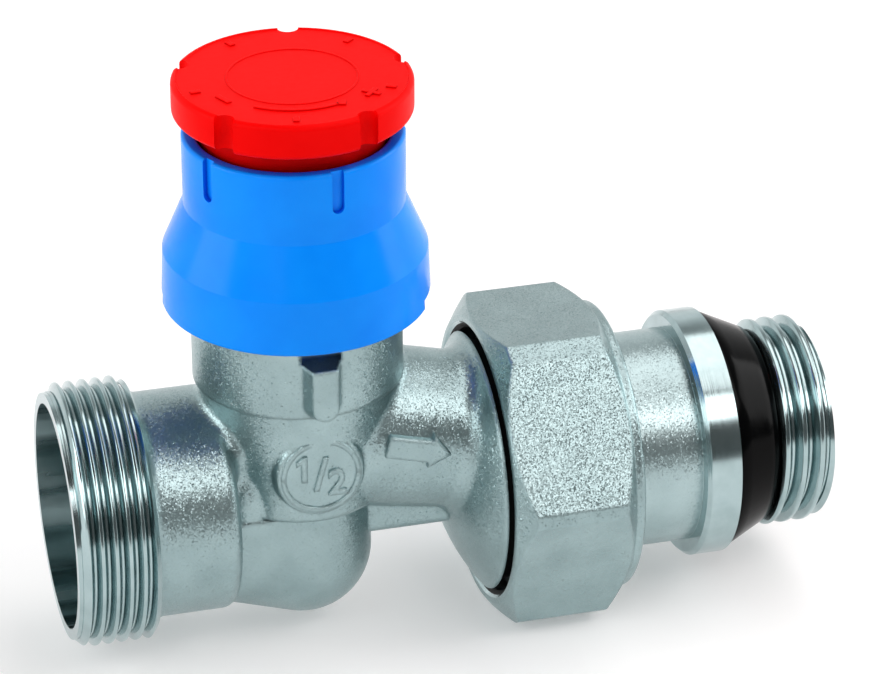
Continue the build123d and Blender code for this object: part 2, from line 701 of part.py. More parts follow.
def head_collar():
    """Plastic collar snapped on the neck, with the thread that the knob runs in."""
    shell = turned_z(
        (COLLAR_BORE_R, COLLAR_RIM),
        (COLLAR_RIM_R, COLLAR_RIM),
        (COLLAR_RIM_R, COLLAR_SHOULDER),
        (COLLAR_WAIST_R, COLLAR_WAIST),
        (COLLAR_BASE_R, COLLAR_BASE),
        (COLLAR_BASE_R - COLLAR_WALL, COLLAR_BASE),
        (COLLAR_WAIST_R - COLLAR_WALL, COLLAR_WAIST - COLLAR_WALL / 2),
        (COLLAR_BORE_R, COLLAR_SHOULDER - COLLAR_WALL / 2),
    )
    circles = shell.edges().filter_by(GeomType.CIRCLE).sort_by(SortBy.RADIUS)
    rim = circles.filter_by_position(Axis.Z, COLLAR_RIM, COLLAR_RIM)
    shell = fillet([circles[-1]] + list(rim), COLLAR_ROUND)
    key_depth = COLLAR_BASE_R - COLLAR_WALL / 2 - NECK_R + KEYWAY_DEPTH - SEAT_GAP
    key = Pos(0, -NECK_R + KEYWAY_DEPTH - SEAT_GAP, COLLAR_BASE + COLLAR_ROUND) * Box(
        LUG_WIDTH - 2 * SEAT_GAP,
        key_depth,
        NECK_TOP - COLLAR_BASE,
        align=(Align.CENTER, Align.MAX, Align.MIN),
    )
    notch = Pos(COLLAR_BASE_R, 0, COLLAR_BASE) * Box(2 * COLLAR_WALL, NOTCH_WIDTH, 2 * NOTCH_HEIGHT)
    shell += around_z(COLLAR_RIB_COUNT, 0, collar_rib()) + [key]
    return shell - around_z(COLLAR_GROOVE_COUNT, COLLAR_GROOVE_ANGLE, collar_groove()) - around_z(
        NOTCH_COUNT, NOTCH_ANGLE, notch
    )


def knob():
    """Hand knob: notched cap, threaded skirt and the peg that presses the stem."""
    cap = fillet(rod_z(KNOB_R, KNOB_BASE, KNOB_TOP).edges().filter_by(GeomType.CIRCLE), KNOB_ROUND)
    notch = Pos(KNOB_R - KNOB_NOTCH_DEPTH + KNOB_NOTCH_R, 0, 0) * rod_z(KNOB_NOTCH_R, KNOB_BASE, KNOB_TOP)
    notch += Pos(KNOB_R + KNOB_NOTCH_R - KNOB_NOTCH_DEPTH, 0, KNOB_BASE) * Box(
        2 * KNOB_NOTCH_R, 2 * KNOB_NOTCH_R, KNOB_TOP - KNOB_BASE, align=(Align.MIN, Align.CENTER, Align.MIN)
    )
    skirt_base = KNOB_BASE - KNOB_SKIRT_LENGTH
    ceiling = KNOB_TOP - KNOB_PLATE
    hollow_r = KNOB_SKIRT_R - KNOB_SKIRT_WALL
    shell = cap - around_z(KNOB_NOTCH_COUNT, KNOB_NOTCH_ANGLE, notch)
    shell += rod_z(KNOB_SKIRT_R, skirt_base, KNOB_BASE)
    shell -= rod_z(hollow_r, skirt_base, ceiling)
    peg_base = STEM_TOP + SEAT_GAP
    rib_height = (ceiling - peg_base) / 2
    rib = Pos(0, 0, ceiling) * Box(
        hollow_r + KNOB_SKIRT_WALL / 2,
        KNOB_RIB_WIDTH,
        rib_height,
        align=(Align.MIN, Align.CENTER, Align.MAX),
    )
    return shell + rod_z(KNOB_PEG_R, peg_base, ceiling) + around_z(KNOB_RIB_COUNT, 0, rib)


PIECES = (
    valve_body,
    union_nut,
    tailpiece,
    split_ring,
    union_o_ring,
    self_seal_ring,
    bonnet,
    bonnet_o_ring,
    gland_nut,
    packing_washer,
    stem_o_ring,
    stem,
    disc_holder,
    disc_seal,
    disc_washer,
    disc_nut,
    return_spring,
    spring_washer,
    circlip,
    head_collar,
    knob,
)

os.makedirs("parts", exist_ok=True)
for piece in PIECES:
    solid = Pos(-RADIATOR_THREAD_START, 0, 0) * piece()
    export_step(solid, f"parts/{piece.__name__}.step")
    print(piece.__name__, round(solid.volume, 1))
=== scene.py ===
# %% [markdown]
# # Dressing a straight radiator valve
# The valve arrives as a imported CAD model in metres, with every solid in its final place. In this
# lesson we keep that frame as it is, cut the screw threads, add the raised marks, and give each
# piece the finish that the real one has: blasted nickel, turned nickel, glossy plastic and black
# rubber.

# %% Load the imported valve
import json
import math

import bmesh
import bpy
from mathutils import Matrix, Vector

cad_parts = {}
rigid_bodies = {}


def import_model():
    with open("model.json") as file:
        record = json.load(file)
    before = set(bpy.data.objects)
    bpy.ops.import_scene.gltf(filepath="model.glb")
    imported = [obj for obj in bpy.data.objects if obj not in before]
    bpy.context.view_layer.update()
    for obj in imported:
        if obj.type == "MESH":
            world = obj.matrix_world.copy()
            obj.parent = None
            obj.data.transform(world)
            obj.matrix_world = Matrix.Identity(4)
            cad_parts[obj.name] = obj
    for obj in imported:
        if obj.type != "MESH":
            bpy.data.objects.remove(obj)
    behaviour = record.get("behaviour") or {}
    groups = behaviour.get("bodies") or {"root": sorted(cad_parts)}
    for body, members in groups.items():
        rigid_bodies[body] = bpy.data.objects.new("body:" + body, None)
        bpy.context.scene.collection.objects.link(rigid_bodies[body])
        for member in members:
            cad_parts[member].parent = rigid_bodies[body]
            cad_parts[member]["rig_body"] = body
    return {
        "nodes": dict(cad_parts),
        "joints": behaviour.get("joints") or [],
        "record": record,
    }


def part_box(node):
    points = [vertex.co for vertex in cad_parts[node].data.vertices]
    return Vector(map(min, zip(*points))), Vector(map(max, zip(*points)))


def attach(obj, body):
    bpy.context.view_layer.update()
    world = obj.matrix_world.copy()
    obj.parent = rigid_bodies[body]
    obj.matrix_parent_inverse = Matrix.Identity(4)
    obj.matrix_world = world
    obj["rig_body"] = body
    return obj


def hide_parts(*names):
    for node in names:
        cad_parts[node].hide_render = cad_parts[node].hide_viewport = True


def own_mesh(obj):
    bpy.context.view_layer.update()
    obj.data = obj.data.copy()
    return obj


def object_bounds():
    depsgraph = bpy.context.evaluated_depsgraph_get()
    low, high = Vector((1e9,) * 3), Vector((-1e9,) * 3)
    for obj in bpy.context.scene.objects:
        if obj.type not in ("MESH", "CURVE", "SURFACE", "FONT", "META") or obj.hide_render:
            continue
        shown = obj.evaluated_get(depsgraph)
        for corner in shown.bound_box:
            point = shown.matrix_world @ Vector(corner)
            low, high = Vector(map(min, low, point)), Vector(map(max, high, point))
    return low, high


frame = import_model()
cad_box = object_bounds()
MM = 0.001
SPINDLE_X = next(joint["pos_m"][0] for joint in frame["joints"] if joint["name"] == "knob_turn")
cad_sides = [round(side / MM, 1) for side in cad_box[1] - cad_box[0]]
print("nodes:", len(frame["nodes"]), "box in mm:", cad_sides)

# %% [markdown]
# ## Small tools
# Sizes on the valve are easiest to read in millimetres from the place where the spindle crosses the
# flow axis, so one helper turns such a point into the frame. The others build node trees: one adds
# a node and links its inputs, and the rest make the few things that every finish needs.

# %% Points and node helpers
TONE_STOPS = (0.30, 0.72)


def at(x, y=0.0, z=0.0):
    return Vector((SPINDLE_X + x * MM, y * MM, z * MM))


def add_node(tree, kind, inputs=None, **settings):
    node = tree.nodes.new(kind)
    for key, value in settings.items():
        setattr(node, key, value)
    for key, value in (inputs or {}).items():
        if isinstance(value, bpy.types.NodeSocket):
            tree.links.new(value, node.inputs[key])
        else:
            node.inputs[key].default_value = value
    return node


def calc(tree, operation, first, second):
    return add_node(tree, "ShaderNodeMath", {0: first, 1: second}, operation=operation).outputs[0]


def noise(tree, where, scale, detail):
    inputs = {"Vector": where, "Scale": scale, "Detail": detail}
    return add_node(tree, "ShaderNodeTexNoise", inputs).outputs["Fac"]


def mapped(tree, value, wanted, given=(0.0, 1.0)):
    """Maps a value from the range it is given in to the range that is wanted."""
    ends = {"From Min": given[0], "From Max": given[1], "To Min": wanted[0], "To Max": wanted[1]}
    return add_node(tree, "ShaderNodeMapRange", {"Value": value, **ends}).outputs["Result"]


def two_tone(tree, share, dark, light):
    """A colour that drifts between two tones."""
    ramp = add_node(tree, "ShaderNodeValToRGB", {"Fac": share})
    for stop, place, tone in zip(ramp.color_ramp.elements, TONE_STOPS, (dark, light)):
        stop.position = place
        stop.color = tone + (1.0,)
    return ramp.outputs["Color"]


def new_finish(name, **sockets):
    finish = bpy.data.materials.new(name)
    finish.use_nodes = True
    shader = finish.node_tree.nodes["Principled BSDF"]
    for key, value in sockets.items():
        shader.inputs[key.replace("_", " ")].default_value = value
    where = add_node(finish.node_tree, "ShaderNodeTexCoord").outputs["Object"]
    return finish, finish.node_tree, shader, where


def plug(tree, shader, color, roughness, normal):
    tree.links.new(color, shader.inputs["Base Color"])
    tree.links.new(roughness, shader.inputs["Roughness"])
    tree.links.new(normal, shader.inputs["Normal"])


print("spindle axis at x =", round(SPINDLE_X / MM, 2), "mm")

# %% [markdown]
# ## Blasted nickel
# The body and the nut are forged in brass, blasted with grit and nickel plated. Each dent of the
# blasting is a tiny mirror that leans its own way. Voronoi cells stand for the dents: every cell has
# one random colour, and that colour tips the surface normal. The tip grows with the cube of the
# colour's distance from grey, so most dents lean a little and a few lean a lot. A lit face then
# breaks into specks, while a face that mirrors the even floor stays calm. Edges are softened in the
# shading as well, since a forging has no sharp ones.

# %% Make the blasted nickel
GREY = (0.5, 0.5, 0.5)
DENT_SCALE = 9200.0
DENT_POWER = 2.0
BLASTED_CLOUD = 260.0
BLASTED_ROUGH = (0.28, 0.36)
FORGED_DARK, FORGED_LIGHT = (0.275, 0.375, 0.385), (0.34, 0.455, 0.465)
SATIN_DARK, SATIN_LIGHT = (0.34, 0.45, 0.46), (0.41, 0.53, 0.54)


def vector_math(tree, operation, inputs):
    return add_node(tree, "ShaderNodeVectorMath", inputs, operation=operation).outputs


def blasted_nickel(name, dark, light, lean, soft_edge):
    finish, tree, shader, where = new_finish(name, Metallic=1.0)
    dents = add_node(tree, "ShaderNodeTexVoronoi", {"Vector": where, "Scale": DENT_SCALE})
    centred = vector_math(tree, "SUBTRACT", {0: dents.outputs["Color"], 1: GREY})[0]
    size = vector_math(tree, "LENGTH", {0: centred})["Value"]
    amount = calc(tree, "MULTIPLY", calc(tree, "POWER", size, DENT_POWER), lean)
    tipped = vector_math(tree, "SCALE", {0: centred, "Scale": amount})[0]
    smooth = add_node(tree, "ShaderNodeBevel", {"Radius": soft_edge * MM}, samples=6)
    grain = vector_math(tree, "ADD", {0: smooth.outputs["Normal"], 1: tipped})[0]
    normal = vector_math(tree, "NORMALIZE", {0: grain})[0]
    cloud = noise(tree, where, BLASTED_CLOUD, detail=4.0)
    rough = mapped(tree, cloud, BLASTED_ROUGH)
    plug(tree, shader, two_tone(tree, cloud, dark, light), rough, normal)
    return finish


BLASTED = blasted_nickel("blasted_nickel", FORGED_DARK, FORGED_LIGHT, lean=0.95, soft_edge=0.65)
ROUNDED = blasted_nickel("rounded_nickel", FORGED_DARK, FORGED_LIGHT, lean=1.05, soft_edge=0.40)
SATIN = blasted_nickel("satin_nickel", SATIN_DARK, SATIN_LIGHT, lean=0.65, soft_edge=0.10)
print("finishes:", BLASTED.name, ROUNDED.name, SATIN.name)

# %% [markdown]
# ## Turned nickel
# Threads, the tail and its collar come off a lathe, so they shine more and carry fine rings about
# the flow axis. A noise that is stretched round that axis draws the rings: it reads the distance
# along X finely and the other two directions hardly at all. In the bore of the inlet the noise is
# stretched along the axis instead: the water has left dull and bright streaks there.

# %% Make the turned nickel
TURNED_DARK, TURNED_LIGHT = (0.33, 0.435, 0.445), (0.41, 0.525, 0.535)
TURNED_CLOUD = 420.0
RING_STRENGTH, RING_DEPTH = 0.25, 0.03
ROUND_THE_AXIS = (9000.0, 60.0, 60.0)
ALONG_THE_AXIS = (30.0, 230.0, 230.0)


def turned_nickel(name, roughness, stretch, contrast):
    finish, tree, shader, where = new_finish(name, Metallic=1.0)
    drawn = add_node(tree, "ShaderNodeMapping", {"Vector": where, "Scale": stretch})
    rings = noise(tree, drawn.outputs["Vector"], 1.0, detail=3.0)
    cloud = noise(tree, where, TURNED_CLOUD, detail=4.0)
    color = two_tone(tree, cloud, TURNED_DARK, TURNED_LIGHT)
    rough = mapped(tree, rings, roughness, contrast)
    cut = {"Height": rings, "Strength": RING_STRENGTH, "Distance": RING_DEPTH * MM}
    plug(tree, shader, color, rough, add_node(tree, "ShaderNodeBump", cut).outputs["Normal"])
    return finish


TURNED = turned_nickel("turned_nickel", (0.10, 0.24), ROUND_THE_AXIS, (0.0, 1.0))
BORED = turned_nickel("bored_nickel", (0.10, 0.55), ALONG_THE_AXIS, (0.36, 0.64))
print("finishes:", TURNED.name, BORED.name)

# %% [markdown]
# ## Plastics, rubber, painted gap shade and the metals inside
# The collar and the knob are glossy mouldings in one colour right through. A moulding is never quite
# even: its skin has a faint orange peel, and its colour drifts a little where the plastic flowed. In a
# narrow gap their colour is darkened by an ambient occlusion test, as painted shade. The rubber, the
# near-black painted shade in the gap at the nut and the pieces inside the valve get the same kind of
# mottled finish.

# %% Make the other finishes
MOTTLE_CLOUD = 180.0
PEEL_DEPTH = 0.05
SHADE_REACH = 5.0
SHADE_RANGE = (0.15, 0.66)


def mottled(name, dark, light, roughness, grain, peel, crevice_shade=None, **sockets):
    finish, tree, shader, where = new_finish(name, **sockets)
    color = two_tone(tree, noise(tree, where, MOTTLE_CLOUD, detail=3.0), dark, light)
    # Painted shade: where the ambient occlusion test finds surfaces close by, the colour goes over to
    # a darker shade colour.
    if crevice_shade:
        reached = {"Distance": SHADE_REACH * MM}
        shade_occlusion = add_node(tree, "ShaderNodeAmbientOcclusion", reached, samples=8).outputs["AO"]
        unshaded_share = mapped(tree, shade_occlusion, (0.0, 1.0), SHADE_RANGE)
        tones = {0: unshaded_share, 6: crevice_shade + (1.0,), 7: color}
        color = add_node(tree, "ShaderNodeMix", tones, data_type="RGBA").outputs[2]
    skin = noise(tree, where, grain, detail=2.0)
    rough = mapped(tree, skin, (roughness - 0.05, roughness + 0.07))
    uneven = {"Height": skin, "Strength": peel, "Distance": PEEL_DEPTH * MM}
    plug(tree, shader, color, rough, add_node(tree, "ShaderNodeBump", uneven).outputs["Normal"])
    return finish


# The last colour given to the blue and the red moulding is painted shade for their gaps and crevices.
BLUE = mottled(
    "blue_moulding",
    (0.001, 0.235, 0.95),
    (0.003, 0.275, 1.0),
    roughness=0.19,
    grain=900.0,
    peel=0.06,
    crevice_shade=(0.0, 0.02, 0.55),
    Specular_IOR_Level=0.10,
)
RED = mottled(
    "red_moulding",
    (0.84, 0.001, 0.001),
    (0.89, 0.002, 0.002),
    roughness=0.40,
    grain=1400.0,
    peel=0.16,
    crevice_shade=(0.10, 0.0, 0.0),
    Specular_IOR_Level=0.03,
)
RUBBER = mottled(
    "black_rubber",
    (0.0006, 0.0007, 0.0008),
    (0.0016, 0.0018, 0.002),
    roughness=0.15,
    grain=1200.0,
    peel=0.12,
    Specular_IOR_Level=0.05,
)
# A near-black finish that is painted shade for the gap between the body and the nut.
GAP_SHADE = mottled(
    "painted_gap_shade",
    (0.003, 0.004, 0.004),
    (0.009, 0.010, 0.010),
    roughness=0.45,
    grain=2200.0,
    peel=0.20,
    Specular_IOR_Level=0.12,
)
BRASS = mottled(
    "bare_brass",
    (0.62, 0.43, 0.17),
    (0.72, 0.52, 0.23),
    roughness=0.28,
    grain=2600.0,
    peel=0.15,
    Metallic=1.0,
)
STEEL = mottled(
    "plain_steel",
    (0.42, 0.42, 0.42),
    (0.54, 0.54, 0.53),
    roughness=0.30,
    grain=2600.0,
    peel=0.15,
    Metallic=1.0,
)
WHITE = mottled(
    "white_plastic",
    (0.70, 0.70, 0.68),
    (0.80, 0.80, 0.78),
    roughness=0.40,
    grain=1200.0,
    peel=0.08,
)
print("finishes:", len(bpy.data.materials))

# %% [markdown]
# ## Clean copies of the CAD solids
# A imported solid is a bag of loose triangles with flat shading. For a piece that is seen, a copy with
# merged corners can be smoothed, and a narrow bevel gives every edge the thin line of light that a
# real edge has. The copy replaces the node and keeps its form.

# %% A smooth copy of a node
MERGE = 0.002
PACKED_SHADING = ("custom_normal", "sharp_face", "sharp_edge")


def loose_copy(node):
    shape = bmesh.new()
    shape.from_mesh(frame["nodes"][node].data)
    bmesh.ops.remove_doubles(shape, verts=shape.verts, dist=MERGE * MM)
    return shape


def new_piece(shape, name, node, finishes, edge, angle):
    """A smooth piece with soft edges, which moves with a node and has its material slot."""
    mesh = bpy.data.meshes.new(name)
    shape.to_mesh(mesh)
    shape.free()
    for layer in PACKED_SHADING:
        if layer in mesh.attributes:
            mesh.attributes.remove(mesh.attributes[layer])
    for finish in finishes:
        mesh.materials.append(finish)
    mesh.shade_smooth()
    mesh.set_sharp_from_angle(angle=math.radians(angle))
    piece = bpy.data.objects.new(name, mesh)
    bpy.context.scene.collection.objects.link(piece)
    if edge:
        bevel = piece.modifiers.new("edge", "BEVEL")
        bevel.width = edge * MM
        bevel.segments = 2
        bevel.limit_method = "ANGLE"
        bevel.angle_limit = math.radians(angle)
    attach(piece, frame["nodes"][node]["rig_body"])
    print(name, "faces:", len(mesh.polygons))
    return piece


def finish_copy(shape, name, node, finishes, edge, angle=28.0):
    piece = new_piece(shape, name, node, finishes, edge, angle)
    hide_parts(node)
    return piece


# %% [markdown]
# A copy can be worked like a blank on a lathe. Its corners and faces are found by how far they lie
# along the flow axis and out from it. Planes cut the faces where a finish or a groove ends.

# %% Tools for turning and cutting
CUT_SNAP = 0.0005
CREST_SNAP = 0.02


def station(vert):
    return (vert.co.x - SPINDLE_X) / MM


def reach(vert):
    return math.hypot(vert.co.y, vert.co.z) / MM


def face_spot(face):
    """How far the middle of a face lies along the flow axis, and out from it."""
    middle = face.calc_center_median()
    return (middle.x - SPINDLE_X) / MM, math.hypot(middle.y, middle.z) / MM


def slice_through(shape, place, way, clear):
    bmesh.ops.bisect_plane(
        shape,
        geom=list(shape.verts) + list(shape.edges) + list(shape.faces),
        plane_co=place,
        plane_no=way,
        dist=CUT_SNAP * MM,
        clear_outer=clear,
    )


def cut_at(shape, x):
    """Adds edges where a plane across the flow axis meets the shape."""
    slice_through(shape, at(x), (1, 0, 0), False)


def cut_off(shape, place, way):
    """Throws away what lies past a plane, along the given way, and closes the cut."""
    slice_through(shape, place, way, True)
    bmesh.ops.holes_fill(shape, edges=[edge for edge in shape.edges if edge.is_boundary])


def turn_down(shape, length, crest, root):
    """Turns a length of the shape down from its crest to a smaller radius."""
    start, end = length
    for vert in shape.verts:
        if start < station(vert) < end and root < reach(vert) < crest + CREST_SNAP:
            vert.co.yz *= root / reach(vert)


def paint(shape, chosen, slot):
    for face in shape.faces:
        if chosen(face):
            face.material_index = slot


def join(shape, mesh, slot):
    """Adds a mesh to the shape, in one finish, and removes the mesh."""
    before = len(shape.faces)
    shape.from_mesh(mesh)
    shape.faces.ensure_lookup_table()
    for face in shape.faces[before:]:
        face.material_index = slot
    bpy.data.meshes.remove(mesh)


# %% [markdown]
# ## Screw threads
# A thread is one ridge that follows a helix, so Geometry Nodes make it: a spiral, and a trapezium
# with rounded corners as its section. The plain cylinder of the CAD is first turned down to the foot
# of the ridge. The ridge runs past both ends, and is then chamfered and cut off, as on a lathe.

# %% The thread tree
STEPS_PER_TURN = 96
CREST_ROUNDING = 0.45
QUARTER_TURN = math.pi / 2


def thread_tree():
    tree = bpy.data.node_groups.new("screw_thread", "GeometryNodeTree")
    for name in ("Pitch", "Turns", "Root radius", "Depth", "Crest"):
        tree.interface.new_socket(name, in_out="INPUT", socket_type="NodeSocketFloat")
    tree.interface.new_socket("Geometry", in_out="OUTPUT", socket_type="NodeSocketGeometry")
    given = add_node(tree, "NodeGroupInput").outputs
    spiral = add_node(
        tree,
        "GeometryNodeCurveSpiral",
        {
            "Resolution": STEPS_PER_TURN,
            "Rotations": given["Turns"],
            "Start Radius": given["Root radius"],
            "End Radius": given["Root radius"],
            "Height": calc(tree, "MULTIPLY", given["Pitch"], given["Turns"]),
        },
    )
    helix = {"Curve": spiral.outputs["Curve"]}
    upright = add_node(tree, "GeometryNodeSetCurveNormal", helix, mode="Z_UP")
    section = add_node(
        tree,
        "GeometryNodeCurvePrimitiveQuadrilateral",
        {
            "Bottom Width": given["Pitch"],
            "Top Width": given["Crest"],
            "Offset": 0.0,
            "Height": given["Depth"],
        },
        mode="TRAPEZOID",
    )
    half_depth = calc(tree, "MULTIPLY", given["Depth"], 0.5)
    lift = add_node(tree, "ShaderNodeCombineXYZ", {"Y": half_depth})
    stood = add_node(
        tree,
        "GeometryNodeTransform",
        {"Geometry": section.outputs["Curve"], "Translation": lift.outputs[0]},
    )
    rounded = add_node(
        tree,
        "GeometryNodeFilletCurve",
        {
            "Curve": stood.outputs["Geometry"],
            "Radius": calc(tree, "MULTIPLY", given["Crest"], CREST_ROUNDING),
            "Count": 3,
            "Limit Radius": True,
        },
        mode="POLY",
    )
    turned = add_node(
        tree,
        "GeometryNodeTransform",
        {"Geometry": rounded.outputs["Curve"], "Rotation": (0.0, 0.0, QUARTER_TURN)},
    )
    swept = add_node(
        tree,
        "GeometryNodeCurveToMesh",
        {
            "Curve": upright.outputs["Curve"],
            "Profile Curve": turned.outputs["Geometry"],
            "Fill Caps": True,
        },
    )
    laid = add_node(
        tree,
        "GeometryNodeTransform",
        {"Geometry": swept.outputs["Mesh"], "Rotation": (0.0, QUARTER_TURN, 0.0)},
    )
    add_node(tree, "NodeGroupOutput", {"Geometry": laid.outputs["Geometry"]})
    return tree


THREAD = thread_tree()
THREAD_INPUTS = [item for item in THREAD.interface.items_tree if item.in_out == "INPUT"]
print("thread inputs:", [item.name for item in THREAD_INPUTS])


# %% Sweep a thread
RIDGE_SINK = 0.08
CREST_SHARE = 0.22


def evaluated(host):
    """The mesh that an object's curve or modifiers make. The object itself is removed."""
    bpy.context.scene.collection.objects.link(host)
    bpy.context.view_layer.update()
    seen = bpy.context.evaluated_depsgraph_get()
    mesh = bpy.data.meshes.new_from_object(host.evaluated_get(seen))
    bpy.data.objects.remove(host)
    return mesh


def swept_thread(name, values):
    host = bpy.data.objects.new(name, bpy.data.meshes.new(name + "_start"))
    nodes = host.modifiers.new(name, "NODES")
    nodes.node_group = THREAD
    for item in THREAD_INPUTS:
        nodes[item.identifier] = values[item.name]
    return evaluated(host)


def thread_ridge(name, span, pitch, root, crest, chamfers, phase):
    """A ridge that runs past both ends of a span, is chamfered there and is cut off flat."""
    start, end = span
    foot = root - RIDGE_SINK
    mesh = swept_thread(
        name,
        {
            "Pitch": pitch * MM,
            "Turns": (end - start) / pitch + 2.0,
            "Root radius": foot * MM,
            "Depth": (crest - root + RIDGE_SINK) * MM,
            "Crest": CREST_SHARE * pitch * MM,
        },
    )
    turn = Matrix.Rotation(math.radians(phase), 4, "X")
    mesh.transform(Matrix.Translation(at(start - pitch)) @ turn)
    shape = bmesh.new()
    shape.from_mesh(mesh)
    for vert in shape.verts:
        x = station(vert)
        allowed = crest - max(0.0, start + chamfers[0] - x, x - end + chamfers[1])
        if reach(vert) > allowed:
            vert.co.yz *= max(allowed, foot) / reach(vert)
    cut_off(shape, at(start), (-1, 0, 0))
    cut_off(shape, at(end), (1, 0, 0))
    print(name, "faces:", len(shape.faces))
    shape.to_mesh(mesh)
    shape.free()
    return mesh


# %% [markdown]
# ## The forged body
# The body has two threads: a fine one at the inlet, seen at the left, and a coarser one under the
# union nut. Both are cut here on a copy of the CAD solid. The union thread starts at a relief groove,
# which leaves a gap in front of the nut, painted near black as painted shade. The bored and turned
# faces shine, and the forged skin between them is blasted, so the copy carries several finishes.

# %% Turn the body
INLET_PITCH, INLET_CREST, INLET_ROOT = 1.337, 13.0, 12.15
UNION_PITCH, UNION_CREST, UNION_ROOT = 1.814, 13.2, 12.1
RUNOUT_CREST, RUNOUT_ROOT = INLET_ROOT + 0.3, 11.6
SHOULDER_ROOT = 11.25
RELIEF_ROOT = 12.0
RELIEF_START, RELIEF_FLOOR, RELIEF_END = 17.83, 18.7, 20.2
INLET_CUT, RUNOUT_CUT, SHOULDER_CUT = (-24.5, -16.9), (-16.6, -16.3), (-16.1, -15.8)
RELIEF_CUT, UNION_CUT = (RELIEF_START + 0.01, RELIEF_FLOOR + 0.05), (19.2, 26.1)

body = loose_copy("valve_body")
for x in (RELIEF_START, RELIEF_FLOOR, RELIEF_END):
    cut_at(body, x)
turn_down(body, INLET_CUT, INLET_CREST, INLET_ROOT)
turn_down(body, RUNOUT_CUT, RUNOUT_CREST, RUNOUT_ROOT)
turn_down(body, SHOULDER_CUT, INLET_ROOT, SHOULDER_ROOT)
turn_down(body, RELIEF_CUT, UNION_CREST, RELIEF_ROOT)
turn_down(body, UNION_CUT, UNION_CREST, UNION_ROOT)
print("corners of the turned body:", len(body.verts))

# %% Choose the finishes of the body
INLET_SHOULDER = -16.4
MOUTH_DEPTH, MOUTH_BORE_R = -17.0, 11.15
BORE_DEPTH, BORE_R = -9.0, 10.0
GROOVE_R = 11.5


def machined(face):
    x, out = face_spot(face)
    return x < INLET_SHOULDER or x > RELIEF_FLOOR or (x < BORE_DEPTH and out < BORE_R)


def bored(face):
    x, out = face_spot(face)
    return (x < MOUTH_DEPTH and out < MOUTH_BORE_R) or (x < BORE_DEPTH and out < BORE_R)


# The relief groove is painted near black: painted shade for the gap in front of the nut.
def in_groove(face):
    x, out = face_spot(face)
    return RELIEF_START < x < RELIEF_END and out > GROOVE_R


for slot, chosen in enumerate((machined, bored, in_groove), start=1):
    paint(body, chosen, slot)
print("blasted faces:", sum(face.material_index == 0 for face in body.faces))

# %% [markdown]
# Where the bulb, the drum and the spigot meet, the metal of the forging flows into the corner. A part
# of an ellipsoid fills it, front and back, and is cut off before it reaches the waterway. Then the
# two threads go on.

# %% Fill the corners and add the threads
CORNER_X, CORNER_Y, CORNER_Z = -6.4, 4.1, 1.6
CORNER_RADII = (3.1 * MM, 2.85 * MM, 5.2 * MM, 1.0)
CORNER_START, CORNER_END, CORNER_DEPTH = -8.9, -3.8, 5.0
INLET_SPAN, INLET_CHAMFERS, INLET_PHASE = (-24.0, -16.45), (0.7, 0.55), 62.0
UNION_SPAN, UNION_CHAMFERS, UNION_PHASE = (RELIEF_END, 26.0), (0.3, 0.7), 0.0

for side in (-1, 1):
    lump = bmesh.new()
    middle = Matrix.Translation(at(CORNER_X, side * CORNER_Y, CORNER_Z))
    placed = middle @ Matrix.Diagonal(CORNER_RADII)
    bmesh.ops.create_uvsphere(lump, u_segments=48, v_segments=24, radius=1.0, matrix=placed)
    cut_off(lump, at(CORNER_START), (-1, 0, 0))
    cut_off(lump, at(CORNER_END), (1, 0, 0))
    cut_off(lump, at(CORNER_X, side * CORNER_DEPTH), (0, -side, 0))
    blend = bpy.data.meshes.new("corner_blend")
    lump.to_mesh(blend)
    lump.free()
    join(body, blend, 0)
inlet_thread = thread_ridge(
    "inlet_thread",
    INLET_SPAN,
    INLET_PITCH,
    INLET_ROOT,
    INLET_CREST,
    INLET_CHAMFERS,
    INLET_PHASE,
)
union_thread = thread_ridge(
    "union_thread",
    UNION_SPAN,
    UNION_PITCH,
    UNION_ROOT,
    UNION_CREST,
    UNION_CHAMFERS,
    UNION_PHASE,
)
join(body, inlet_thread, 1)
join(body, union_thread, 1)
finish_copy(body, "forged_body", "valve_body", (BLASTED, TURNED, BORED, GAP_SHADE), edge=0.12)

# %% [markdown]
# ## The union nut
# The nut is forged like the body and chamfered at both ends. The forging die parts along two opposite
# corners, and the flash there is trimmed to a narrow facet. The six flats and the ring round the mouth
# keep the blasted grain, and the bore and the rim at the other end are bright from the lathe. The
# mouth is painted near black, as painted shade for the gap between the nut and the body.

# %% Dress the nut
FLASH_ANGLE, FLASH_OUT = 113.75, 16.45
MOUTH_START, MOUTH_END, MOUTH_R = 18.35, 21.0, 14.0
FRONT_RING_R, BRIGHT_R = 14.2, 14.3

nut = loose_copy("union_nut")
cut_at(nut, MOUTH_START)
cut_at(nut, MOUTH_END)
for angle in (FLASH_ANGLE, FLASH_ANGLE + 180.0):
    way = Vector((0.0, math.cos(math.radians(angle)), math.sin(math.radians(angle))))
    cut_off(nut, way * FLASH_OUT * MM, way)


def nut_turned(face):
    x, out = face_spot(face)
    front_ring = x < MOUTH_START and max(reach(vert) for vert in face.verts) > FRONT_RING_R
    return out < BRIGHT_R and not front_ring


# The mouth of the nut is painted near black: painted shade for the gap between the nut and the body.
def in_mouth(face):
    x, out = face_spot(face)
    return MOUTH_START < x < MOUTH_END and out < MOUTH_R


paint(nut, nut_turned, 1)
paint(nut, in_mouth, 2)
finish_copy(nut, "hexagon_nut", "union_nut", (ROUNDED, TURNED, GAP_SHADE), edge=0.12)

# %% [markdown]
# ## The tail
# The tail is turned from bar. Its shank is blasted before plating, while the collar and the radiator
# thread stay bright. The thread is the coarse half-inch one.

